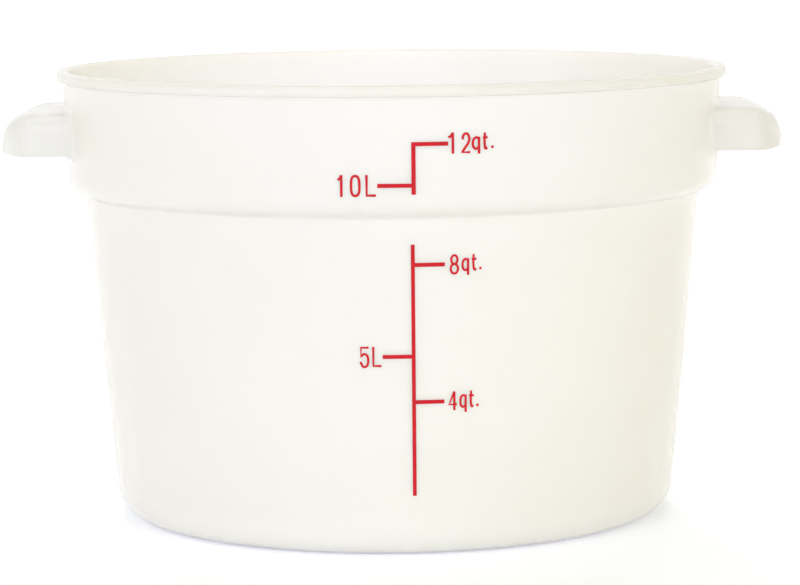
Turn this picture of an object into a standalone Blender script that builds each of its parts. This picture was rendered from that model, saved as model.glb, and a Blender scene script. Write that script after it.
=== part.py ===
"""Round food storage tub with a stepped collar, a lid lip, two hollow lug handles and a printed volume scale."""

import math

import bmesh
import bpy
from mathutils import Matrix, Vector

# Sizes are in metres. The tub stands on z = 0 with its axis on Z. Its handles lie on X, and its scale faces -Y.

# Wall, measured on the outside
TUB_HEIGHT = 0.2129
BODY_TOP_RADIUS = 0.1463  # where the tapered wall meets the ledge under the collar
BODY_TAPER = 0.014  # how much smaller the radius is where the wall's line meets the base plane
COLLAR_STANDOUT = 0.0086  # from the body's top out to the collar's lower corner
COLLAR_FLARE = 0.0014  # from there to where the collar meets the lip
COLLAR_CORNER_DROP = 0.0549  # from the rim down to the collar's lower corner
LEDGE_RISE = 0.0041  # how far the ledge climbs on its way out to that corner
SHOULDER_ROUND = 0.006
CREASE_ROUND = 0.0016
FOOT_ROUND = 0.0147
WALL = 0.0025
FLOOR = 0.003

# Lip that a lid closes over
LIP_HEIGHT = 0.0068
LIP_STANDOUT = 0.0031
LIP_TOP_ROUND = 0.0022
LIP_UNDER_ROUND = 0.0008
LIP_ROOT_ROUND = 0.0007
LIP_INNER_ROUND = 0.001

# Underside: the floor panel is set up a little, so that the tub stands on a flat ring
FOOT_RING_WIDTH = 0.021
PANEL_RECESS = 0.0009
PANEL_SLOPE_RUN = 0.0022

# Lug handles: hollow hoods, open underneath
HANDLE_STANDOUT = 0.0297  # from the collar's upper edge to the middle of the bowed outer wall
HANDLE_HALF_LENGTH = 0.0465
HANDLE_TOP_DROP = 0.0187  # from the rim down to the flat top
HANDLE_DEPTH = 0.0197  # from the flat top down to the open edge
HANDLE_WALL = 0.0025
BOW_RADIUS = 0.092
BROW_LEAD = 0.0045  # how far before the corner rounds the top starts to fall
BROW_FALL = 0.0102  # from there to the middle of the bow
HANDLE_EDGE_ROUND = 0.006
HANDLE_CORNER_ROUND = 0.005
HANDLE_LEAST_ROUND = 0.0004  # what is left of the corner round on the inner rings

# Printed scale: thin films that follow the wall
INK_WIDTH = 0.0022
INK_THICKNESS = 0.0002
INK_ARC_STEP = 0.003
SCALE_OFFSET = 0.0091  # along the wall, from the front line to the scale's upright line

# Each upright line ends at two shares of its wall's height, and each mark is a share and a reach to one side
UPPER_FOOT_SHARE = 0.152
UPPER_HEAD_SHARE = 0.634
UPPER_MARK_SHARES = (0.611, 0.237)
UPPER_MARK_REACHES = (0.0147, -0.0161)
LOWER_FOOT_SHARE = 0.1864
LOWER_HEAD_SHARE = 0.9245
LOWER_MARK_SHARES = (0.8665, 0.599, 0.4655)
LOWER_MARK_REACHES = (0.0142, -0.0136, 0.0138)

# Clearances
SEAT_GAP = 0.0003  # between pieces that touch on the real tub
OVERRUN = 0.004  # how far a cutter, or a piece that is cut, runs past
WELD = 0.00001

TURN_STEPS = 96
FOOT_STEPS = 6
ROUND_STEPS = 4
SMALL_STEPS = 2
BOW_STEPS = 7
SMOOTH_ANGLE = math.radians(32)

MILKY_PLASTIC = (0.93, 0.925, 0.87)
RED_INK = (0.66, 0.035, 0.05)

BODY_FOOT_RADIUS = BODY_TOP_RADIUS - BODY_TAPER
COLLAR_FOOT_RADIUS = BODY_TOP_RADIUS + COLLAR_STANDOUT
COLLAR_TOP_RADIUS = COLLAR_FOOT_RADIUS + COLLAR_FLARE
HANDLE_REACH = COLLAR_TOP_RADIUS + HANDLE_STANDOUT
BOW_CENTRE = HANDLE_REACH - BOW_RADIUS
LIP_UNDERSIDE = TUB_HEIGHT - LIP_HEIGHT
COLLAR_CORNER = TUB_HEIGHT - COLLAR_CORNER_DROP
LEDGE_HEIGHT = COLLAR_CORNER - LEDGE_RISE


def clear_scene():
    for old in list(bpy.data.objects):
        bpy.data.objects.remove(old, do_unlink=True)


def new_collection(name):
    collection = bpy.data.collections.new(name)
    bpy.context.scene.collection.children.link(collection)
    return collection


def finish(name, colour, roughness):
    material = bpy.data.materials.new(name)
    material.use_nodes = True
    shader = material.node_tree.nodes["Principled BSDF"]
    shader.inputs["Base Color"].default_value = (*colour, 1)
    shader.inputs["Roughness"].default_value = roughness
    shader.inputs["Metallic"].default_value = 0
    material.diffuse_color = (*colour, 1)
    return material


def new_object(name, bm, collection, material=None):
    mesh = bpy.data.meshes.new(name)
    bm.to_mesh(mesh)
    bm.free()
    piece = bpy.data.objects.new(name, mesh)
    collection.objects.link(piece)
    if material:
        mesh.materials.append(material)
    return piece


def shade(piece):
    piece.data.shade_smooth()
    piece.data.set_sharp_from_angle(angle=SMOOTH_ANGLE)


def arc_at(before, corner, after, radius, steps):
    """Points of the round that replaces a corner between two straight stretches."""
    back = (before - corner).normalized()
    ahead = (after - corner).normalized()
    half = back.angle(ahead) / 2
    centre = corner + (back + ahead).normalized() * (radius / math.sin(half))
    spoke = corner + back * (radius / math.tan(half)) - centre
    sweep = math.pi - 2 * half
    turn = -1 if back.cross(ahead) > 0 else 1
    points = []
    for step in range(steps + 1):
        angle = turn * sweep * step / steps
        across = spoke.x * math.cos(angle) - spoke.y * math.sin(angle)
        up = spoke.x * math.sin(angle) + spoke.y * math.cos(angle)
        points.append(centre + Vector((across, up)))
    return points


def rounded(corners):
    """An outline through corners of (across, up, round, steps), with each corner that has a round made an arc."""
    places = [Vector(corner[:2]) for corner in corners]
    points = []
    for index, (_, _, radius, steps) in enumerate(corners):
        if radius:
            points += arc_at(places[index - 1], places[index], places[index + 1], radius, steps)
        else:
            points.append(places[index])
    return points


def set_in(start, end, thickness):
    """The line from start to end, moved to its left by a wall's thickness."""
    along = (end - start).normalized()
    shift = Vector((-along.y, along.x)) * thickness
    return start + shift, end + shift


def crossing(first, second):
    """Where two lines in the profile's plane meet."""
    first_way = first[1] - first[0]
    second_way = second[1] - second[0]
    reach = (second[0] - first[0]).cross(second_way) / first_way.cross(second_way)
    return first[0] + first_way * reach


def outer_corners():
    """The tub's outside, from the top of the lip down to the middle of the underside."""
    lip_radius = COLLAR_TOP_RADIUS + LIP_STANDOUT
    foot_flat = BODY_FOOT_RADIUS - FOOT_ROUND
    panel_edge = foot_flat - FOOT_RING_WIDTH
    return [
        (lip_radius, TUB_HEIGHT, LIP_TOP_ROUND, ROUND_STEPS),
        (lip_radius, LIP_UNDERSIDE, LIP_UNDER_ROUND, SMALL_STEPS),
        (COLLAR_TOP_RADIUS, LIP_UNDERSIDE, LIP_ROOT_ROUND, SMALL_STEPS),
        (COLLAR_FOOT_RADIUS, COLLAR_CORNER, SHOULDER_ROUND, ROUND_STEPS),
        (BODY_TOP_RADIUS, LEDGE_HEIGHT, CREASE_ROUND, SMALL_STEPS),
        (BODY_FOOT_RADIUS, 0, FOOT_ROUND, FOOT_STEPS),
        (panel_edge, 0, 0, 0),
        (panel_edge - PANEL_SLOPE_RUN, PANEL_RECESS, 0, 0),
        (0, PANEL_RECESS, 0, 0),
    ]


def inner_corners():
    """The tub's inside, from the middle of the floor up to the rim, one wall's thickness in from the outside."""
    foot = Vector((BODY_FOOT_RADIUS, 0))
    body_top = Vector((BODY_TOP_RADIUS, LEDGE_HEIGHT))
    collar_foot = Vector((COLLAR_FOOT_RADIUS, COLLAR_CORNER))
    collar_top = Vector((COLLAR_TOP_RADIUS, LIP_UNDERSIDE))
    floor = (Vector((0, FLOOR)), Vector((BODY_FOOT_RADIUS, FLOOR)))
    rim = (Vector((0, TUB_HEIGHT)), Vector((BODY_FOOT_RADIUS, TUB_HEIGHT)))
    body = set_in(foot, body_top, WALL)
    ledge = set_in(body_top, collar_foot, WALL)
    collar = set_in(collar_foot, collar_top, WALL)
    return [
        (0, FLOOR, 0, 0),
        (*crossing(floor, body), max(FOOT_ROUND - WALL, WALL), FOOT_STEPS),
        (*crossing(body, ledge), CREASE_ROUND + WALL, SMALL_STEPS),
        (*crossing(ledge, collar), max(SHOULDER_ROUND - WALL, WALL), SMALL_STEPS),
        (*crossing(collar, rim), LIP_INNER_ROUND, SMALL_STEPS),
    ]


def turned(name, points, collection, material=None):
    """A closed turned solid from a profile of (radius, height) points that starts and ends on the axis."""
    bm = bmesh.new()
    spots = [bm.verts.new((point[0], 0, point[1])) for point in points]
    for lower, upper in zip(spots, spots[1:]):
        bm.edges.new((lower, upper))
    piece = new_object(name, bm, collection, material)
    screw = piece.modifiers.new("turn", "SCREW")
    screw.axis = "Z"
    screw.angle = math.tau
    screw.steps = TURN_STEPS
    screw.render_steps = TURN_STEPS
    screw.use_merge_vertices = True
    screw.merge_threshold = WELD
    screw.use_smooth_shade = True
    return piece


def make_tub(collection):
    corners = inner_corners() + outer_corners()
    material = finish("tub_polypropylene", MILKY_PLASTIC, 0.32)
    return turned("tub_shell", rounded(corners), collection, material)


def collar_radius(height):
    """Outside radius of the collar at a height."""
    share = (height - COLLAR_CORNER) / (LIP_UNDERSIDE - COLLAR_CORNER)
    return COLLAR_FOOT_RADIUS + (COLLAR_TOP_RADIUS - COLLAR_FOOT_RADIUS) * share


def body_radius(height):
    """Outside radius of the tapered wall at a height."""
    return BODY_FOOT_RADIUS + (BODY_TOP_RADIUS - BODY_FOOT_RADIUS) * height / LEDGE_HEIGHT


def make_collar_cutter(collection):
    """A plug a gap larger than the collar, which trims the handles to their seats."""
    points = [
        (0, TUB_HEIGHT),
        (collar_radius(TUB_HEIGHT) + SEAT_GAP, TUB_HEIGHT),
        (collar_radius(LEDGE_HEIGHT) + SEAT_GAP, LEDGE_HEIGHT),
        (0, LEDGE_HEIGHT),
    ]
    cutter = turned("collar_cutter", points, collection)
    cutter.hide_render = True
    cutter.display_type = "WIRE"
    return cutter


def corner_at(inset):
    """The round at a handle's corner, for a plan drawn in by an inset: its radius and its centre's two places."""
    radius = max(HANDLE_CORNER_ROUND - inset, HANDLE_LEAST_ROUND)
    along = radius + inset - HANDLE_HALF_LENGTH
    out = BOW_CENTRE + math.sqrt((BOW_RADIUS - inset - radius) ** 2 - along**2)
    return radius, out, along


def brow_start():
    """How far from the tub's axis the handle's top starts to fall."""
    _, out, _ = corner_at(0)
    return out - BROW_LEAD


def brow_fall(across):
    """How far the handle's top has fallen at a distance from the tub's axis: an arc that starts level."""
    full_run = HANDLE_REACH - brow_start()
    run = max(across - brow_start(), 0)
    radius = (full_run**2 + BROW_FALL**2) / (2 * BROW_FALL)
    return radius - math.sqrt(radius**2 - run**2)


def handle_outline(inset):
    """Half of a handle's plan, from inside the collar along the end wall to the middle of the bow."""
    corner, corner_out, corner_along = corner_at(inset)
    half = HANDLE_HALF_LENGTH - inset
    bow = BOW_RADIUS - inset
    back = math.sqrt(COLLAR_FOOT_RADIUS**2 - HANDLE_HALF_LENGTH**2) - OVERRUN
    bow_start = math.atan2(corner_along, corner_out - BOW_CENTRE)
    points = [(back, -half), (brow_start(), -half)]
    for step in range(ROUND_STEPS):
        angle = -math.pi / 2 + (bow_start + math.pi / 2) * step / ROUND_STEPS
        points.append((corner_out + corner * math.cos(angle), corner_along + corner * math.sin(angle)))
    for step in range(BOW_STEPS + 1):
        angle = bow_start * (1 - step / BOW_STEPS)
        points.append((BOW_CENTRE + bow * math.cos(angle), bow * math.sin(angle)))
    return points


def handle_rings():
    """Rings of points over half a handle: the open edge, the rounded top edge, and the middle line of the top."""
    top = TUB_HEIGHT - HANDLE_TOP_DROP
    rings = [[(x, y, top - HANDLE_DEPTH) for x, y in handle_outline(0)]]
    for step in range(ROUND_STEPS + 1):
        angle = math.pi / 2 * step / ROUND_STEPS
        inset = HANDLE_EDGE_ROUND * (1 - math.cos(angle))
        height = top - HANDLE_EDGE_ROUND * (1 - math.sin(angle))
        rings.append([(x, y, height - brow_fall(x)) for x, y in handle_outline(inset)])
    rings.append([(x, 0, height) for x, _, height in rings[-1]])
    return rings


def make_handle(name, turn, cutter, collection):
    """A hood lofted over half its length, mirrored, given its wall and trimmed to the collar."""
    bm = bmesh.new()
    rings = [[bm.verts.new(point) for point in ring] for ring in handle_rings()]
    for lower, upper in zip(rings, rings[1:]):
        for start in range(len(lower) - 1):
            bm.faces.new((lower[start], lower[start + 1], upper[start + 1], upper[start]))
    bmesh.ops.remove_doubles(bm, verts=bm.verts, dist=WELD)
    bmesh.ops.rotate(bm, verts=bm.verts, matrix=Matrix.Rotation(turn, 3, "Z"))
    handle = new_object(name, bm, collection, finish(name + "_polypropylene", MILKY_PLASTIC, 0.32))
    mirror = handle.modifiers.new("other_half", "MIRROR")
    mirror.use_axis = (False, True, False)
    mirror.merge_threshold = WELD
    wall = handle.modifiers.new("wall", "SOLIDIFY")
    wall.thickness = HANDLE_WALL
    wall.offset = -1
    wall.use_even_offset = True
    trim = handle.modifiers.new("seat", "BOOLEAN")
    trim.operation = "DIFFERENCE"
    trim.object = cutter
    shade(handle)
    return handle


def marks_of(foot, head, marks):
    """The scale's strips as (left, right, low, high), along the wall and up."""
    half = INK_WIDTH / 2
    strips = [(-half, half, foot, head)]
    for height, reach in marks:
        strips.append((min(reach, 0), max(reach, 0), height - half, height + half))
    return strips


def inside_any(strips, place):
    return any(left < place.x < right and low < place.z < high for left, right, low, high in strips)


def make_print(name, strips, radius_at, collection):
    """A film in the shape of the strips, cut from one flat sheet, bent round the wall and given its thickness."""
    left = min(strip[0] for strip in strips)
    right = max(strip[1] for strip in strips)
    low = min(strip[2] for strip in strips)
    high = max(strip[3] for strip in strips)
    bm = bmesh.new()
    corners = [(left, 0, low), (right, 0, low), (right, 0, high), (left, 0, high)]
    bm.faces.new([bm.verts.new(corner) for corner in corners])
    cuts_across = {edge for strip in strips for edge in strip[:2]}
    cuts_across |= {left + INK_ARC_STEP * step for step in range(1, int((right - left) / INK_ARC_STEP) + 1)}
    cuts_up = {edge for strip in strips for edge in strip[2:]}
    for place in cuts_across:
        cut_sheet(bm, (place, 0, 0), (1, 0, 0))
    for place in cuts_up:
        cut_sheet(bm, (0, 0, place), (0, 0, 1))
    spare = [face for face in bm.faces if not inside_any(strips, face.calc_center_median())]
    bmesh.ops.delete(bm, geom=spare, context="FACES")
    for spot in bm.verts:
        radius = radius_at(spot.co.z)
        angle = (SCALE_OFFSET + spot.co.x) / radius
        reach = radius + SEAT_GAP
        spot.co = (reach * math.sin(angle), -reach * math.cos(angle), spot.co.z)
    film = new_object(name, bm, collection, finish(name + "_ink", RED_INK, 0.45))
    thicken = film.modifiers.new("film", "SOLIDIFY")
    thicken.thickness = INK_THICKNESS
    thicken.offset = 1
    shade(film)
    return film


def cut_sheet(bm, place, normal):
    geometry = bm.verts[:] + bm.edges[:] + bm.faces[:]
    bmesh.ops.bisect_plane(bm, geom=geometry, dist=WELD, plane_co=place, plane_no=normal)


def make_upper_print(collection):
    def up(share):
        return COLLAR_CORNER + (LIP_UNDERSIDE - COLLAR_CORNER) * share

    marks = [(up(share), reach) for share, reach in zip(UPPER_MARK_SHARES, UPPER_MARK_REACHES)]
    strips = marks_of(up(UPPER_FOOT_SHARE), up(UPPER_HEAD_SHARE), marks)
    return make_print("upper_scale_print", strips, collar_radius, collection)


def make_lower_print(collection):
    def up(share):
        return LEDGE_HEIGHT * share

    marks = [(up(share), reach) for share, reach in zip(LOWER_MARK_SHARES, LOWER_MARK_REACHES)]
    strips = marks_of(up(LOWER_FOOT_SHARE), up(LOWER_HEAD_SHARE), marks)
    return make_print("lower_scale_print", strips, body_radius, collection)


def main():
    clear_scene()
    parts = new_collection("food_storage_tub")
    cutters = new_collection("cutters")
    make_tub(parts)
    collar_cutter = make_collar_cutter(cutters)
    make_handle("right_handle", 0, collar_cutter, parts)
    make_handle("left_handle", math.pi, collar_cutter, parts)
    make_upper_print(parts)
    make_lower_print(parts)


main()
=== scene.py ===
import math

import bmesh
import bpy
from mathutils import Matrix, Vector


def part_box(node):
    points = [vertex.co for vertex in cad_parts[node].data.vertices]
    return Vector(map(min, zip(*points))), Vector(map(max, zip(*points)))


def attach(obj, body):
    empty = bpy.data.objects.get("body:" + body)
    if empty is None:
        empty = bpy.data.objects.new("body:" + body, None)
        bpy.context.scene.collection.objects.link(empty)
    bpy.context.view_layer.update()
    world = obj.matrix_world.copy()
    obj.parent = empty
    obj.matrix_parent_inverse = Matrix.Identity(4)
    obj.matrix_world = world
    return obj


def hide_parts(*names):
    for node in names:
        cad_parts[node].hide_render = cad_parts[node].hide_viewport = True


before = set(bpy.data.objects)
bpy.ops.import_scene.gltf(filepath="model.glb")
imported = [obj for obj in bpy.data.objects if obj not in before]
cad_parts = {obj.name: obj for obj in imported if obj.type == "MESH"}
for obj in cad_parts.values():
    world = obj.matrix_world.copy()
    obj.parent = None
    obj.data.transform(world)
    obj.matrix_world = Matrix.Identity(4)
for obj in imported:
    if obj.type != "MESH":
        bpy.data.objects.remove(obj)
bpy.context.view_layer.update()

# Metres. The tub stands on z = 0 with its axis on Z, its scale faces -Y and its handles lie on X.
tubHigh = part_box("tub_shell")[1]
handleLow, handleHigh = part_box("right_handle")


# Small helpers for meshes

meshGaps = {
    "cut": 0.000001,           # a cut this near a point runs through the point
    "sliver": 0.000002,        # shorter edges are closed up
    "join": 0.000004,          # nearer points are merged once the hoods are on
    "seam": 0.00001,           # nearer points are merged along the tub's seam and on its axis
}


def addToScene(name, data):
    thing = bpy.data.objects.new(name, data)
    bpy.context.scene.collection.objects.link(thing)
    return thing


def keepMesh(bm, name):
    mesh = bpy.data.meshes.new(name)
    bm.to_mesh(mesh)
    bm.free()
    return addToScene(name, mesh)


def roundCorner(before, corner, after, radius, steps):
    back = (before - corner).normalized()
    ahead = (after - corner).normalized()
    half = back.angle(ahead) / 2
    centre = corner + (back + ahead).normalized() * (radius / math.sin(half))
    spoke = corner + back * (radius / math.tan(half)) - centre
    turn = -1 if back.cross(ahead) > 0 else 1
    spin = [Matrix.Rotation(turn * (math.pi - 2 * half) * step / steps, 2) for step in range(steps + 1)]
    return [centre + matrix @ spoke for matrix in spin]


def softOutline(corners):
    # corners are (across, up, round, steps); a round of 0 stays sharp
    places = [Vector(corner[:2]) for corner in corners]
    points = []
    for index, (_, _, radius, steps) in enumerate(corners):
        if radius:
            following = places[(index + 1) % len(places)]
            points += roundCorner(places[index - 1], places[index], following, radius, steps)
        else:
            points.append(places[index])
    return points


def combine(base, tool, operation):
    join = base.modifiers.new("combine", "BOOLEAN")
    join.operation = operation
    join.object = tool
    graph = bpy.context.evaluated_depsgraph_get()
    made = bpy.data.meshes.new_from_object(base.evaluated_get(graph))
    base.modifiers.clear()
    base.data = made
    bpy.data.objects.remove(tool, do_unlink=True)


def sliceAcross(bm, axis, places):
    # cuts the mesh square to an axis at places along it
    normal = Vector([float(axis == other) for other in range(3)])
    for place in places:
        bmesh.ops.bisect_plane(bm, geom=bm.verts[:] + bm.edges[:] + bm.faces[:], dist=meshGaps["cut"],
                               plane_co=normal * place, plane_no=normal)


def faceOutward(bm):
    bmesh.ops.recalc_face_normals(bm, faces=bm.faces)
    if bm.calc_volume(signed=True) < 0:
        bmesh.ops.reverse_faces(bm, faces=bm.faces)


def shadeSoft(piece, degrees):
    piece.data.shade_smooth()
    piece.data.set_sharp_from_angle(angle=math.radians(degrees))


# Tub: one turned wall with a tapered body, a stepped collar and a lip for the lid

tub = {
    "height": tubHigh[2],
    "rimRadius": tubHigh[0],
    "lipStandout": 0.0031,
    "lipHeight": 0.0046,
    "lipSlope": 0.0006,        # how far its underside falls towards the collar
    "lipTopRound": 0.0022,
    "lipUnderRound": 0.0013,
    "lipRootRound": 0.0016,    # where its underside meets the collar
    "lipInnerRound": 0.0011,
    "collarFlare": 0.0014,     # how much the collar widens on its way up
    "collarCorner": 0.158,     # height of the collar's lower corner
    "ledgeRise": 0.0041,
    "ledgeReach": 0.0086,      # from the body's wall out to that corner
    "bodyTaper": 0.014,
    "wall": 0.0025,
    "floor": 0.003,
    "footRound": 0.0147,
    "shoulderRound": 0.008,
    "creaseRound": 0.0016,
    "footRing": 0.021,         # width of the ring that the tub stands on
    "footRingRound": 0.0006,
    "panelRecess": 0.0009,
    "panelSlope": 0.0022,
    "panelRound": 0.0012,
    "gateRadius": 0.0022,      # mark where the plastic entered the mould
    "gateRise": 0.0004,
    "gateSlope": 0.0004,
    "wallRows": 0.003,         # spacing of the rows up the wall
    "turnSteps": 240,
}
tub["collarTopRadius"] = tub["rimRadius"] - tub["lipStandout"]
tub["collarFootRadius"] = tub["collarTopRadius"] - tub["collarFlare"]
tub["bodyTopRadius"] = tub["collarFootRadius"] - tub["ledgeReach"]
tub["bodyFootRadius"] = tub["bodyTopRadius"] - tub["bodyTaper"]
tub["lipUnder"] = tub["height"] - tub["lipHeight"]
tub["ledge"] = tub["collarCorner"] - tub["ledgeRise"]


def collarRadius(height):
    share = (height - tub["collarCorner"]) / (tub["lipUnder"] - tub["collarCorner"])
    return tub["collarFootRadius"] + tub["collarFlare"] * share


def bodyRadius(height):
    return tub["bodyFootRadius"] + tub["bodyTaper"] * height / tub["ledge"]


def outerCorners():
    flat = tub["bodyFootRadius"] - tub["footRound"]
    panel = flat - tub["footRing"]
    gate = tub["gateRadius"]
    return [
        (tub["rimRadius"], tub["height"], tub["lipTopRound"], 8),
        (tub["rimRadius"], tub["lipUnder"], tub["lipUnderRound"], 6),
        (tub["collarTopRadius"], tub["lipUnder"] - tub["lipSlope"], tub["lipRootRound"], 6),
        (tub["collarFootRadius"], tub["collarCorner"], tub["shoulderRound"], 10),
        (tub["bodyTopRadius"], tub["ledge"], tub["creaseRound"], 6),
        (tub["bodyFootRadius"], 0, tub["footRound"], 14),
        (panel, 0, tub["footRingRound"], 3),
        (panel - tub["panelSlope"], tub["panelRecess"], tub["panelRound"], 3),
        (gate + tub["gateSlope"], tub["panelRecess"], 0, 0),
        (gate, tub["panelRecess"] - tub["gateRise"], 0, 0),
        (0, tub["panelRecess"] - tub["gateRise"], 0, 0),
    ]


def offsetCrossing(first, second, distance):
    # where two profile lines, each moved to its left by a distance, meet
    lines = []
    for start, end in (first, second):
        along = (end - start).normalized()
        lines.append((start + Vector((-along.y, along.x)) * distance, along))
    reach = (lines[1][0] - lines[0][0]).cross(lines[1][1]) / lines[0][1].cross(lines[1][1])
    return lines[0][0] + lines[0][1] * reach


def innerCorners():
    wall = tub["wall"]
    foot = Vector((tub["bodyFootRadius"], 0))
    bodyTop = Vector((tub["bodyTopRadius"], tub["ledge"]))
    collarFoot = Vector((tub["collarFootRadius"], tub["collarCorner"]))
    collarTop = Vector((tub["collarTopRadius"], tub["lipUnder"]))
    base = Vector((0, tub["floor"] - wall))  # the floor is a little thicker than the wall
    heel = offsetCrossing((base, base + Vector((1, 0))), (foot, bodyTop), wall)
    crease = offsetCrossing((foot, bodyTop), (bodyTop, collarFoot), wall)
    shoulder = offsetCrossing((bodyTop, collarFoot), (collarFoot, collarTop), wall)
    top = Vector((tub["bodyFootRadius"], tub["height"] + wall))
    rim = offsetCrossing((collarFoot, collarTop), (top, top - Vector((1, 0))), wall)
    return [
        (0, tub["floor"], 0, 0),
        (*heel, tub["footRound"] - wall, 14),
        (*crease, tub["creaseRound"] + wall, 8),
        (*shoulder, tub["shoulderRound"] - wall, 8),
        (*rim, tub["lipInnerRound"], 5),
    ]


def withRows(points, spacing):
    # long straight runs get rows, so that the wall shades cleanly where a hood joins it
    rows = [points[0]]
    for before, after in zip(points, points[1:]):
        cuts = max(1, round((after - before).length / spacing))
        rows += [before.lerp(after, cut / cuts) for cut in range(1, cuts + 1)]
    return rows


def makeTub():
    points = withRows(softOutline(innerCorners() + outerCorners()), tub["wallRows"])
    bm = bmesh.new()
    spots = [bm.verts.new((point.x, 0, point.y)) for point in points]
    for first, second in zip(spots, spots[1:]):
        bm.edges.new((first, second))
    bmesh.ops.spin(bm, geom=bm.verts[:] + bm.edges[:], axis=(0, 0, 1), cent=(0, 0, 0), dvec=(0, 0, 0),
                   angle=math.tau, steps=tub["turnSteps"], use_merge=True, use_duplicate=False)
    bmesh.ops.remove_doubles(bm, verts=bm.verts, dist=meshGaps["seam"])
    bmesh.ops.recalc_face_normals(bm, faces=bm.faces)
    return keepMesh(bm, "tub_moulding")


# Lug handles: hoods open underneath, moulded with the collar

handle = {
    "halfLength": handleHigh[1],
    "foot": handleLow[2],
    "top": handleHigh[2],
    "reach": handleHigh[0],
    "bowRadius": 0.092,
    "wall": 0.0025,
    "endRound": 0.005,         # upright corners
    "topRound": 0.0072,        # edge of the top
    "browLead": 0.0045,        # how far before the corners the top starts to fall
    "browFall": 0.0102,
    "browFade": 1.6,           # how quickly that fall builds up from the open edge to the top
    "nearWall": 0.004,         # this near the collar the hood follows the collar,
    "nearBow": 0.009,          # and this near its bowed front it follows the bow
    "rootRound": 0.0025,       # fillet where the hood meets the collar
    "gussetRound": 0.0042,     # the same fillet below the hood's two ends, which runs down the collar
    "gussetBlend": 0.007,      # height above the open edge in which that fillet fades out
    "rimRound": 0.0006,        # open edge
    "rimFrom": 0.94,           # share of the collar's radius inside which that edge stays sharp
    "sunk": 0.001,             # how far the hood runs into the wall
    "skin": 0.0001,            # how far its pocket stays off the wall
    "pocketSpare": 0.0084,     # how far the pocket's cutter reaches below the open edge
    # shares of a fillet's radius: where it starts to dip into the wall, how far it stands off there, how
    # much more it may stand off further in, and how fast it gets there
    "dipStart": 0.04,
    "dipStandoff": 0.72,
    "dipLimit": 0.4,
    "dipSlope": 3.3,
    # rows across the fillets, as shares of their radius, and steps round the hood's edges
    "rootRowShares": (0.04, 0.14, 0.28, 0.46, 0.7, 1),
    "gussetRowShares": (0.55, 0.72, 1),
    "endSteps": 5,
    "topSteps": 6,
}
handle["bowCentre"] = handle["reach"] - handle["bowRadius"]
handle["depth"] = handle["reach"] - collarRadius(handle["top"])


def browStart():
    across = handle["halfLength"] - handle["endRound"]
    out = math.sqrt((handle["bowRadius"] - handle["endRound"]) ** 2 - across ** 2)
    return handle["bowCentre"] + out - handle["browLead"]


def browFall(x):
    fullRun = handle["reach"] - browStart()
    radius = (fullRun ** 2 + handle["browFall"] ** 2) / (2 * handle["browFall"])
    run = max(x - browStart(), 0)
    return radius - math.sqrt(max(radius ** 2 - run ** 2, 0))


def flareOf(distance, radius):
    # how far a fillet stands off at a distance from the wall; it dips into the wall at a shallow angle
    if distance >= radius:
        return 0
    dip = radius * handle["dipStart"] - distance
    if dip >= 0:
        return radius * (handle["dipStandoff"] + min(handle["dipLimit"], dip / radius * handle["dipSlope"]))
    return radius - math.sqrt(radius ** 2 - (radius - distance) ** 2)


def hoodPlace(spot, half, top, depth, rounds, rootRound, rootSign):
    # spot is (along, up, out) in a square block; the result is its place on the bowed, rounded hood
    along, up, out = spot
    side, crown, nose = rounds
    flat = half - side
    inner = Vector((max(-flat, min(flat, along)), min(up, top - crown), min(out, depth - nose)))
    excess = Vector(((along - inner.x) / side, (up - inner.y) / crown, (out - inner.z) / nose))
    if excess.length > 0.001:
        way = excess.normalized() * max(abs(share) for share in excess)
        along, up, out = inner.x + way.x * side, inner.y + way.y * crown, inner.z + way.z * nose
        across = Vector((way.x, way.y))
        if across.length > 0.5:
            spread = flareOf(out, rootRound) * rootSign * min(1, across.length)
            across.normalize()
            along += across.x * spread
            up += across.y * spread
    fade = 1 - min(1, max(0, up - handle["foot"]) / handle["gussetBlend"])
    up -= flareOf(out, handle["gussetRound"]) * fade * fade
    near, far = handle["nearWall"], handle["nearBow"]
    wallX = math.sqrt(collarRadius(up) ** 2 - along ** 2)
    bowOut = math.sqrt(handle["bowRadius"] ** 2 - along ** 2)
    bowX = handle["bowCentre"] + bowOut - (handle["depth"] - depth)
    if out <= near:
        x = wallX + out
    elif out >= depth - far:
        x = bowX - (depth - out)
    else:
        share = (out - near) / (depth - far - near)
        x = (wallX + near) * (1 - share) + (bowX - far) * share
    lift = max(0, up - handle["foot"]) / (handle["top"] - handle["foot"])
    return Vector((x, along, up - browFall(x) * min(1, lift * handle["browFade"])))


def edgeCuts(radius, steps):
    # places, measured in from a block's edge, that turn into even steps round the edge
    return [radius - radius * math.tan(math.pi / 4 * step / steps) for step in range(steps + 1)]


def evenPlaces(start, end, steps):
    # the places between two ends, without the ends
    return [start + (end - start) * step / steps for step in range(1, steps)]


def blockOf(low, high, cuts):
    bm = bmesh.new()
    bmesh.ops.create_cube(bm, size=1)
    size = Vector(high) - Vector(low)
    bmesh.ops.scale(bm, vec=size, verts=bm.verts)
    bmesh.ops.translate(bm, vec=(Vector(low) + Vector(high)) / 2, verts=bm.verts)
    for axis, places in enumerate(cuts):
        sliceAcross(bm, axis, places)
    return bm


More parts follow.
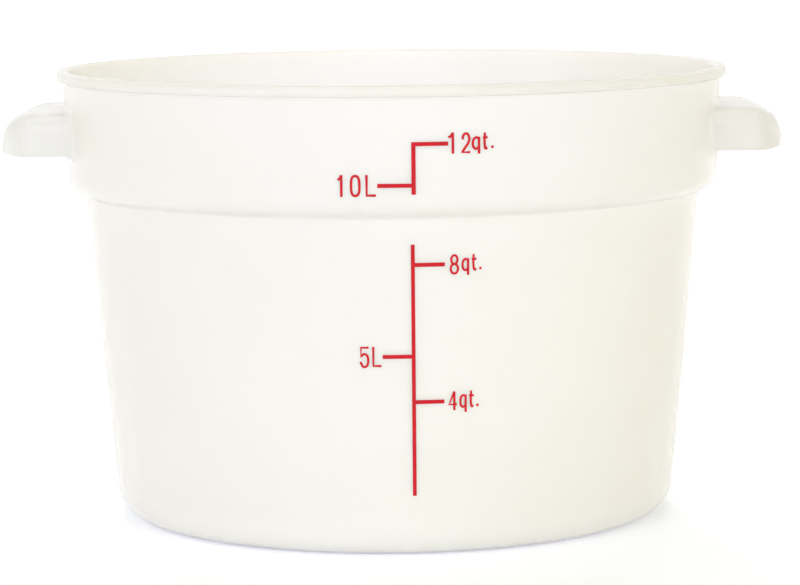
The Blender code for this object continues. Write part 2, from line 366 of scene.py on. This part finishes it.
def hoodBlock(half, foot, top, back, depth, rounds, rootRound, rootSign):
    # a block cut into rows along it, up it and outwards, so that it can bend and turn round
    side, crown, nose = rounds
    ends = [half - cut for cut in edgeCuts(side, handle["endSteps"])]
    spans = [half * (step + 0.5) / 12 for step in range(-10, 10)]
    along = [-place for place in ends] + ends + [place for place in spans if abs(place) < half - side]
    up = [top - cut for cut in edgeCuts(crown, handle["topSteps"])] + evenPlaces(foot, top - crown, 5)
    up += [foot + handle["rimRound"] * times for times in (1.5, 3)]
    out = [depth - cut for cut in edgeCuts(nose, handle["endSteps"])]
    out += [rootRound * share for share in handle["rootRowShares"]]
    out += [handle["gussetRound"] * share for share in handle["gussetRowShares"]]
    out += [(back + rootRound * handle["dipStart"]) / 2] + evenPlaces(rootRound, depth - nose, 7)
    bm = blockOf((-half, foot, back), (half, top, depth), (along, up, out))
    for spot in bm.verts:
        spot.co = hoodPlace(spot.co, half, top, depth, rounds, rootRound, rootSign)
    bmesh.ops.recalc_face_normals(bm, faces=bm.faces)
    return bm


def softenRim(bm):
    # rounds the open edge of the hood where its outer walls end
    bm.normal_update()
    rim = []
    for edge in bm.edges:
        flat = [face for face in edge.link_faces if face.normal.z < -0.9]
        upright = [face for face in edge.link_faces if abs(face.normal.z) < 0.5]
        nearest = min(spot.co.x for spot in edge.verts)
        if flat and upright and nearest > tub["collarTopRadius"] * handle["rimFrom"]:
            rim.append(edge)
    bmesh.ops.bevel(bm, geom=rim, offset=handle["rimRound"], offset_type="OFFSET", segments=3, profile=0.5,
                    affect="EDGES", clamp_overlap=True, material=-1)


def turnHalf(bm, half):
    bmesh.ops.rotate(bm, verts=bm.verts, cent=(0, 0, 0), matrix=Matrix.Rotation(math.pi * half, 3, "Z"))


def addHandles(moulding):
    wall = handle["wall"]
    outerRounds = (handle["endRound"], handle["topRound"], handle["endRound"])
    innerRounds = [size - wall for size in outerRounds]
    for half in (0, 1):
        block = hoodBlock(handle["halfLength"], handle["foot"], handle["top"], -handle["sunk"],
                          handle["depth"], outerRounds, handle["rootRound"], 1)
        softenRim(block)
        turnHalf(block, half)
        combine(moulding, keepMesh(block, "hood_block"), "UNION")
    pocketFoot = handle["foot"] - handle["pocketSpare"]
    for half in (0, 1):
        pocket = hoodBlock(handle["halfLength"] - wall, pocketFoot, handle["top"] - wall, handle["skin"],
                           handle["depth"] - wall, innerRounds, handle["rootRound"] / 2, -1)
        turnHalf(pocket, half)
        combine(moulding, keepMesh(pocket, "hood_pocket"), "DIFFERENCE")
    bm = bmesh.new()
    bm.from_mesh(moulding.data)
    bmesh.ops.remove_doubles(bm, verts=bm.verts, dist=meshGaps["join"])
    bmesh.ops.dissolve_degenerate(bm, dist=meshGaps["sliver"], edges=bm.edges)
    bm.to_mesh(moulding.data)
    bm.free()
    return moulding


moulding = addHandles(makeTub())
shadeSoft(moulding, 38)
print("moulding:", len(moulding.data.polygons), "faces")


# Printed scale: upright lines with a tick at each mark, and the numerals beside the ticks

scale = {
    "thickness": 0.00006,      # half of it lies under the surface
    "tickWidth": 0.0018,
    "cutStep": 0.0015,         # rows that let the film follow the round wall
    "glyphUnit": 0.001,        # the numerals' own figures are in millimetres
    "glyphWeld": 0.0001,       # and so is the distance within which their points are merged
    # places along the wall are measured from the front line; a tick is its height and where it ends
    "upper": {"line": 0.0095, "width": 0.0019, "foot": 0.1653, "head": 0.1883,
              "ticks": ((0.1874, 0.0248), (0.1693, -0.0064))},
    "lower": {"line": 0.0089, "width": 0.0017, "foot": 0.0287, "head": 0.1424,
              "ticks": ((0.1333, 0.0231), (0.09215, -0.0048), (0.0715, 0.0225))},
}


def wrapRound(bm, radiusAt):
    # (along the wall, out, up) becomes a place on the round wall
    for spot in bm.verts:
        along, out, up = spot.co
        radius = radiusAt(up)
        turn = along / radius
        spot.co = ((radius + out) * math.sin(turn), -(radius + out) * math.cos(turn), up)


def cutRows(bm, left, right):
    rows = int((right - left) / scale["cutStep"])
    sliceAcross(bm, 0, [left + scale["cutStep"] * row for row in range(1, rows + 1)])


def makeLines(name, lines, radiusAt):
    half, tick = lines["width"] / 2, scale["tickWidth"] / 2
    line = lines["line"]
    strips = [(line - half, line + half, lines["foot"], lines["head"])]
    for height, end in lines["ticks"]:
        strips.append((min(line, end), max(line, end), height - tick, height + tick))
    left, right = min(strip[0] for strip in strips), max(strip[1] for strip in strips)
    bm = bmesh.new()
    bmesh.ops.create_grid(bm, x_segments=1, y_segments=1, size=0.5)
    for spot in bm.verts:
        spot.co = (left + (spot.co.x + 0.5) * (right - left), 0,
                   lines["foot"] + (spot.co.y + 0.5) * (lines["head"] - lines["foot"]))
    sliceAcross(bm, 0, {edge for strip in strips for edge in strip[:2]})
    sliceAcross(bm, 2, {edge for strip in strips for edge in strip[2:]})
    spare = []
    for face in bm.faces:
        spot = face.calc_center_median()
        if not any(low < spot.x < high and foot < spot.z < head for low, high, foot, head in strips):
            spare.append(face)
    bmesh.ops.delete(bm, geom=spare, context="FACES")
    cutRows(bm, left, right)
    raised = bmesh.ops.extrude_face_region(bm, geom=bm.faces[:])["geom"]
    raised = [item for item in raised if isinstance(item, bmesh.types.BMVert)]
    bmesh.ops.translate(bm, vec=(0, -scale["thickness"] / 2, 0), verts=bm.verts)
    bmesh.ops.translate(bm, vec=(0, scale["thickness"], 0), verts=raised)
    wrapRound(bm, radiusAt)
    faceOutward(bm)
    piece = keepMesh(bm, name)
    shadeSoft(piece, 30)
    return piece


# Each glyph is a few strokes in a box one wide and one high; a dash after a point keeps its corner sharp
glyphs = {
    "1": [[(1, 1), (1, 0)], [(0, 0.775), (0.52, 0.83), (1, 0.985)]],
    "2": [[(0.06, 0.68), (0.14, 0.88), (0.49, 1), (0.88, 0.79), (0.78, 0.51), (0.42, 0.277), (0, 0, "-"),
           (1, 0, "-")]],
    "4": [[(0.67, 1, "-"), (0, 0.31, "-"), (1, 0.31, "-")], [(0.67, 1), (0.67, 0)]],
    "5": [[(1, 1, "-"), (0.1, 1, "-"), (0.1, 0.54, "-"), (0.53, 0.67), (0.94, 0.36), (0.52, 0), (0, 0.26)]],
    "8": [[(0.08, 0.78), (0.5, 1), (0.93, 0.78), (0.5, 0.525), "closed"],
          [(0, 0.26), (0.5, 0.525), (1, 0.26), (0.5, 0), "closed"]],
    "0": [[(0, 0.5), (0.5, 1), (1, 0.5), (0.5, 0), "closed"]],
    "q": [[(1, 0.9), (0.52, 1), (0, 0.5), (0.45, 0), (1, 0.16)], [(1, 1.05), (1, -0.44)]],
    "t": [[(0.41, 1), (0.4, 0.16), (0.56, 0.01), (0.95, 0.03)], [(0, 0.69), (1, 0.69)]],
    "L": [[(0, 1, "-"), (0, 0, "-"), (1, 0, "-")]],
    ".": [[(0, 0), (0, 1)]],
}

# Each numeral's glyphs with their left end, foot, width and height in millimetres along and up the wall
numerals = {
    "twelve_quart_numerals": {"stroke": 1.18, "radiusAt": collarRadius, "glyphs": (
        ("1", 24.9, 182.9, 1.95, 9.3), ("2", 31.0, 183.45, 3.55, 8.2), ("q", 35.75, 184.85, 2.8, 4.95),
        ("t", 40.35, 184.85, 2.15, 7.0), (".", 44.63, 184.9, 0, 1.15))},
    "ten_litre_numerals": {"stroke": 1.18, "radiusAt": collarRadius, "glyphs": (
        ("1", -23.75, 164.5, 1.65, 9.6), ("0", -17.8, 164.95, 3.65, 8.75), ("L", -11.0, 165.1, 4.05, 9.0))},
    "eight_quart_numerals": {"stroke": 1.08, "radiusAt": bodyRadius, "glyphs": (
        ("8", 25.7, 129.1, 3.25, 8.1), ("q", 31.0, 130.45, 2.5, 5.0), ("t", 35.2, 130.55, 2.2, 6.95),
        (".", 39.15, 130.5, 0, 1.15))},
    "five_litre_numerals": {"stroke": 1.1, "radiusAt": bodyRadius, "glyphs": (
        ("5", -14.8, 87.6, 3.8, 8.75), ("L", -8.95, 88.05, 3.55, 8.65))},
    "four_quart_numerals": {"stroke": 1.08, "radiusAt": bodyRadius, "glyphs": (
        ("4", 24.6, 67.35, 3.5, 8.5), ("q", 29.7, 68.7, 2.4, 5.3), ("t", 33.75, 68.8, 2.1, 7.2),
        (".", 37.52, 68.7, 0, 1.2))},
}


def makeNumeral(name, label):
    curve = bpy.data.curves.new(name, "CURVE")
    curve.dimensions = "3D"
    curve.twist_mode = "MINIMUM"
    curve.bevel_depth = label["stroke"] / 2
    curve.bevel_resolution = 3
    curve.resolution_u = 10
    curve.use_fill_caps = True
    for glyph, left, foot, width, height in label["glyphs"]:
        for stroke in glyphs[glyph]:
            closed = stroke[-1] == "closed"
            points = stroke[:-1] if closed else stroke
            spline = curve.splines.new("BEZIER")
            spline.bezier_points.add(len(points) - 1)
            spline.use_cyclic_u = closed
            for bezier, point in zip(spline.bezier_points, points):
                bezier.co = (left + point[0] * width, 0, foot + point[1] * height)
                kind = "VECTOR" if len(point) == 3 or len(points) == 2 else "AUTO"
                bezier.handle_left_type = bezier.handle_right_type = kind
    drawn = addToScene(name + "_strokes", curve)
    graph = bpy.context.evaluated_depsgraph_get()
    bm = bmesh.new()
    bm.from_mesh(bpy.data.meshes.new_from_object(drawn.evaluated_get(graph)))
    bpy.data.objects.remove(drawn, do_unlink=True)
    bmesh.ops.remove_doubles(bm, verts=bm.verts, dist=scale["glyphWeld"])
    unit, flat = scale["glyphUnit"], scale["thickness"] / label["stroke"]
    bmesh.ops.scale(bm, vec=(unit, flat, unit), verts=bm.verts)
    left, right = min(spot.co.x for spot in bm.verts), max(spot.co.x for spot in bm.verts)
    cutRows(bm, left, right)
    wrapRound(bm, label["radiusAt"])
    bmesh.ops.dissolve_degenerate(bm, dist=meshGaps["sliver"], edges=bm.edges)
    bmesh.ops.reverse_faces(bm, faces=bm.faces)  # wrapping mirrored them
    piece = keepMesh(bm, name)
    shadeSoft(piece, 50)
    return piece


upperInk = makeLines("upper_scale_ink", scale["upper"], collarRadius)
lowerInk = makeLines("lower_scale_ink", scale["lower"], bodyRadius)
inkPieces = [upperInk, lowerInk] + [makeNumeral(name, label) for name, label in numerals.items()]
print("printed scale:", len(inkPieces), "pieces")


# Materials

# A span holds the two levels of a noise between which one value turns into the other
milky = {
    "colour": (0.962, 0.952, 0.908),
    "shade": (0.948, 0.938, 0.892),
    "cloudSize": 0.05,
    "cloudSpan": (0.35, 0.65),
    "inside": (0.985, 0.976, 0.944),     # painted light: paler and less yellow than the outside, standing in for the light that the inside gathers
    # a face's normal times its spoke from the axis: inside up to the first, outside from the second
    "insideTurn": (-0.04, 0.02),
    "lip": (0.87, 0.864, 0.832),         # painted shade: darker, so that the lip, which catches more light than the collar, renders as dull as it
    "lipEdge": 0.001,                    # how near the lip's edges that painted shade fades in
    "roughness": (0.17, 0.23),
    "grainSize": 0.02,
    "grainSpan": (0.3, 0.7),
    "ior": 1.49,
    "depth": 0.009,            # how far light wanders inside it, which is well past the wall's thickness
}

redInk = {
    "colour": (0.70, 0.012, 0.026),
    "shade": (0.62, 0.014, 0.026),
    "blotchSize": 0.004,
    "blotchSpan": (0.35, 0.7),
    "roughness": (0.42, 0.58),
    "grainSize": 0.0006,
    "grainSpan": (0.3, 0.7),
    "specular": 0.2,
}


def newMaterial(name):
    material = bpy.data.materials.new(name)
    material.use_nodes = True
    nodes, links = material.node_tree.nodes, material.node_tree.links
    place = nodes.new("ShaderNodeTexCoord")
    return material, nodes, links, nodes["Principled BSDF"], place.outputs["Object"]


def noiseNode(nodes, links, where, size, detail):
    noise = nodes.new("ShaderNodeTexNoise")
    noise.inputs["Scale"].default_value = 1 / size
    noise.inputs["Detail"].default_value = detail
    links.new(where, noise.inputs["Vector"])
    return noise.outputs["Fac"]


def rampNode(nodes, links, value, low, high, start=0.0, end=1.0):
    ramp = nodes.new("ShaderNodeMapRange")
    ramp.inputs["From Min"].default_value = low
    ramp.inputs["From Max"].default_value = high
    ramp.inputs["To Min"].default_value = start
    ramp.inputs["To Max"].default_value = end
    links.new(value, ramp.inputs["Value"])
    return ramp.outputs["Result"]


def mixNode(nodes, links, share, first, second):
    # first and second are colours, or sockets that give them
    mix = nodes.new("ShaderNodeMix")
    mix.data_type = "RGBA"
    links.new(share, mix.inputs["Factor"])
    for socket, tone in ((mix.inputs[6], first), (mix.inputs[7], second)):
        if isinstance(tone, tuple):
            socket.default_value = (*tone, 1)
        else:
            links.new(tone, socket)
    return mix.outputs[2]


def mathNode(nodes, links, operation, first, second):
    step = nodes.new("ShaderNodeMath")
    step.operation = operation
    links.new(first, step.inputs[0])
    links.new(second, step.inputs[1])
    return step.outputs["Value"]


def lengthNode(nodes, links, place):
    step = nodes.new("ShaderNodeVectorMath")
    step.operation = "LENGTH"
    links.new(place, step.inputs[0])
    return step.outputs["Value"]


def makeMilkyPlastic():
    material, nodes, links, shader, place = newMaterial("milky polypropylene")
    cloud = noiseNode(nodes, links, place, milky["cloudSize"], 3)
    cloud = rampNode(nodes, links, cloud, *milky["cloudSpan"])
    outside = mixNode(nodes, links, cloud, milky["colour"], milky["shade"])
    # painted light on the inside: a face that looks at the tub's axis is on its inside, and gets the paler
    # tone
    spoke = nodes.new("ShaderNodeVectorMath")
    spoke.operation = "MULTIPLY"
    spoke.inputs[1].default_value = (1, 1, 0)
    links.new(place, spoke.inputs[0])
    facing = nodes.new("ShaderNodeVectorMath")
    facing.operation = "DOT_PRODUCT"
    links.new(spoke.outputs["Vector"], facing.inputs[0])
    links.new(place.node.outputs["Normal"], facing.inputs[1])
    inside = rampNode(nodes, links, facing.outputs["Value"], *milky["insideTurn"], 1, 0)
    wall = mixNode(nodes, links, inside, outside, milky["inside"])
    # painted shade on the lip, which is what stands out past the collar near the top
    parts = nodes.new("ShaderNodeSeparateXYZ")
    links.new(place, parts.inputs[0])
    edge = milky["lipEdge"]
    high = rampNode(nodes, links, parts.outputs["Z"], tub["lipUnder"] - edge, tub["lipUnder"] + edge / 2)
    away = lengthNode(nodes, links, spoke.outputs["Vector"])
    wide = rampNode(nodes, links, away, tub["collarTopRadius"] - edge, tub["collarTopRadius"] + edge)
    lip = mathNode(nodes, links, "MULTIPLY", high, wide)
    links.new(mixNode(nodes, links, lip, wall, milky["lip"]), shader.inputs["Base Color"])
    grain = noiseNode(nodes, links, place, milky["grainSize"], 3)
    grain = rampNode(nodes, links, grain, *milky["grainSpan"], *milky["roughness"])
    links.new(grain, shader.inputs["Roughness"])
    shader.inputs["IOR"].default_value = milky["ior"]
    shader.inputs["Subsurface Weight"].default_value = 1
    shader.inputs["Subsurface Radius"].default_value = (1, 1, 1)
    shader.inputs["Subsurface Scale"].default_value = milky["depth"]
    return material


def makeInk():
    material, nodes, links, shader, place = newMaterial("red ink")
    blotch = noiseNode(nodes, links, place, redInk["blotchSize"], 3)
    blotch = rampNode(nodes, links, blotch, *redInk["blotchSpan"])
    links.new(mixNode(nodes, links, blotch, redInk["colour"], redInk["shade"]), shader.inputs["Base Color"])
    grain = noiseNode(nodes, links, place, redInk["grainSize"], 2)
    grain = rampNode(nodes, links, grain, *redInk["grainSpan"], *redInk["roughness"])
    links.new(grain, shader.inputs["Roughness"])
    shader.inputs["Specular IOR Level"].default_value = redInk["specular"]
    return material


plastic, ink = makeMilkyPlastic(), makeInk()
moulding.data.materials.clear()
moulding.data.materials.append(plastic)
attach(moulding, "root")
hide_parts("tub_shell", "left_handle", "right_handle")
for piece in inkPieces:
    piece.data.materials.append(ink)
    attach(piece, "root")
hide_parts("upper_scale_print")
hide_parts("lower_scale_print")
print("materials: done")


# Floor, light and camera

stage = {
    "floorRadius": 14,
    "floorGap": 0.0001,        # keeps the floor's face off the tub's foot
    "floorSides": 96,
    "floorColour": (0.93, 0.945, 0.975),
    "floorRoughness": 0.9,
    # what the floor adds by itself, seen straight or in the plastic, near the tub and further out
    "floorGlow": (0.36, 0.86),
    "glowReach": (1.2, 4),
    "glowColour": (1, 1, 1.15),
    # the surroundings' colours on the left, in the middle and on the right, before and behind the tub
    "before": ((1.84, 1.62, 1.75), (3.2, 3.11, 3.17), (2.29, 2.05, 2.07)),
    "behind": ((0.66, 0.59, 0.47), (0.63, 0.83, 1.36), (0.67, 0.64, 0.12)),
    "ceiling": ((0.19, 0.23, 0.01), (0.17, 0.16, 0.04)),      # over its front and over its back
    # how far up the surroundings turn into the ceiling, and how far round the front blends into the back,
    # as parts of a direction one long
    "backdropTop": (0.12, 0.5),
    "sideBlend": (-0.3, 0.3),
    "lampDistance": 2.2,
    "lampAim": (0, 0, 0.15),
    # degrees round the tub from the camera's side towards the right, degrees up, width, height, and how
    # bright its face is in red, green and blue
    "lamps": {
        "front right softbox": (30, 24, 0.5, 0.35, (0.78, 0.89, 0.75)),
        "front left softbox": (-31, 24, 0.5, 0.35, (1.39, 2.04, 4.29)),
        "high front softbox": (0, 58, 1.2, 0.8, (1.24, 1.09, 1.69)),
        "low front softbox": (0, 9, 1.6, 0.4, (0.87, 0.98, 1.31)),
        "overhead softbox": (0, 88, 1.2, 1.2, (0.82, 0.68, 0.6)),
        "left softbox": (-105, 33, 1.1, 0.5, (2.52, 2.33, 1.47)),
        "low left softbox": (-60, 9, 0.8, 0.4, (1.1, 1.2, 1.87)),
        "high right softbox": (60, 48, 0.9, 0.6, (0.22, 0.1, 0)),
        "low back left softbox": (-135, 12, 0.8, 0.4, (1, 1.35, 2.94)),
        "low back right softbox": (135, 12, 0.8, 0.4, (1.52, 1.14, 0.72)),
        "back softbox": (180, 33, 1.4, 0.5, (4.89, 4.5, 5.96)),
        "high back softbox": (180, 60, 1.2, 0.8, (3.45, 3.5, 3.35)),
    },
}

# A narrow white lamp straight above the tub that lights the floor inside it
insideLamp = {
    "height": 2.4,
    "reach": 0.128,            # radius that it lights on the ground
    "blend": 0.2,
    "size": 0.04,
    "power": 62,
}


def seenRay(nodes, links):
    # 1 for what the camera sees straight, mirrored or through something clear
    ray = nodes.new("ShaderNodeLightPath")
    seen = ray.outputs["Is Camera Ray"]
    for other in ("Is Glossy Ray", "Is Transmission Ray"):
        seen = mathNode(nodes, links, "MAXIMUM", seen, ray.outputs[other])
    return seen


def makeStage():
    bm = bmesh.new()
    bmesh.ops.create_circle(bm, cap_ends=True, segments=stage["floorSides"], radius=stage["floorRadius"])
    bmesh.ops.translate(bm, vec=(0, 0, -stage["floorGap"]), verts=bm.verts)
    floor = keepMesh(bm, "floor")
    material, nodes, links, shader, place = newMaterial("pale floor")
    shader.inputs["Base Color"].default_value = (*stage["floorColour"], 1)
    shader.inputs["Roughness"].default_value = stage["floorRoughness"]
    shader.inputs["Specular IOR Level"].default_value = 0
    away = lengthNode(nodes, links, place)
    strength = rampNode(nodes, links, away, *stage["glowReach"], *stage["floorGlow"])
    glow = nodes.new("ShaderNodeEmission")
    glow.inputs["Color"].default_value = (*stage["glowColour"], 1)
    links.new(mathNode(nodes, links, "MULTIPLY", seenRay(nodes, links), strength), glow.inputs["Strength"])
    add = nodes.new("ShaderNodeAddShader")
    links.new(shader.outputs[0], add.inputs[0])
    links.new(glow.outputs[0], add.inputs[1])
    links.new(add.outputs[0], nodes["Material Output"].inputs["Surface"])
    floor.data.materials.append(material)


def colourStrip(nodes, links, across, colours):
    # colours from left to right
    strip = nodes.new("ShaderNodeValToRGB")
    strip.color_ramp.elements.new(0.5)
    for stop, colour in zip(strip.color_ramp.elements, colours):
        stop.color = (*colour, 1)
    links.new(across, strip.inputs["Fac"])
    return strip.outputs["Color"]


def makeWorld():
    world = bpy.data.worlds.new("studio")
    bpy.context.scene.world = world
    world.use_nodes = True
    nodes, links = world.node_tree.nodes, world.node_tree.links
    way = nodes.new("ShaderNodeTexCoord")
    parts = nodes.new("ShaderNodeSeparateXYZ")
    links.new(way.outputs["Generated"], parts.inputs[0])
    across = rampNode(nodes, links, parts.outputs["X"], -1, 1)
    deep = rampNode(nodes, links, parts.outputs["Y"], *stage["sideBlend"])
    high = rampNode(nodes, links, parts.outputs["Z"], *stage["backdropTop"])
    sides = [colourStrip(nodes, links, across, stage[side]) for side in ("before", "behind")]
    around = mixNode(nodes, links, deep, *sides)
    above = mixNode(nodes, links, deep, *stage["ceiling"])
    light, backdrop = nodes["Background"], nodes.new("ShaderNodeBackground")
    links.new(mixNode(nodes, links, high, around, above), light.inputs["Color"])
    backdrop.inputs["Color"].default_value = (1, 1, 1, 1)
    for shader in (light, backdrop):
        shader.inputs["Strength"].default_value = 1
    mix = nodes.new("ShaderNodeMixShader")
    links.new(seenRay(nodes, links), mix.inputs[0])
    links.new(light.outputs[0], mix.inputs[1])
    links.new(backdrop.outputs[0], mix.inputs[2])
    links.new(mix.outputs[0], nodes["World Output"].inputs["Surface"])


def addLamp(name, turn, rise, width, height, strength):
    lamp = bpy.data.lights.new(name, "AREA")
    lamp.shape = "RECTANGLE"
    lamp.size, lamp.size_y = width, height
    lamp.color = [part / max(strength) for part in strength]
    lamp.energy = max(strength) * math.pi * width * height
    softbox = addToScene(name, lamp)
    softbox.visible_glossy = abs(turn) < 90      # no streaks along the rims from lamps behind
    turn, rise = math.radians(turn), math.radians(rise)
    way = Vector((math.sin(turn) * math.cos(rise), -math.cos(turn) * math.cos(rise), math.sin(rise)))
    softbox.location = Vector(stage["lampAim"]) + way * stage["lampDistance"]
    softbox.rotation_euler = way.to_track_quat("Z", "Y").to_euler()


def addInsideLamp():
    lamp = bpy.data.lights.new("lamp over the opening", "SPOT")
    lamp.spot_size = 2 * math.atan(insideLamp["reach"] / insideLamp["height"])
    lamp.spot_blend = insideLamp["blend"]
    lamp.shadow_soft_size = insideLamp["size"]
    lamp.energy = insideLamp["power"]
    holder = addToScene("lamp over the opening", lamp)
    holder.visible_glossy = False
    holder.location = (0, 0, insideLamp["height"])


cameraView = {
    "place": (0.00312, -1.66112, 0.30489),
    "tilt": 83.0962,
    "roll": -0.5449,
    "focalLength": 3474.2455,     # in pixels of the frame
    "frameWidth": 800,            # pixels
    "sensorWidth": 36,            # millimetres
}


def makeCamera():
    camera = bpy.data.cameras.new("camera")
    camera.sensor_width = cameraView["sensorWidth"]
    camera.lens = cameraView["focalLength"] / cameraView["frameWidth"] * cameraView["sensorWidth"]
    holder = addToScene("camera", camera)
    tilt = Matrix.Rotation(math.radians(cameraView["tilt"]), 4, "X")
    roll = Matrix.Rotation(math.radians(cameraView["roll"]), 4, "Z")
    holder.matrix_world = Matrix.Translation(cameraView["place"]) @ (tilt @ roll)
    bpy.context.scene.camera = holder


makeStage()
makeWorld()
for name, settings in stage["lamps"].items():
    addLamp(name, *settings)
addInsideLamp()
makeCamera()
bpy.context.scene.view_settings.view_transform = "Standard"
print("stage: done")
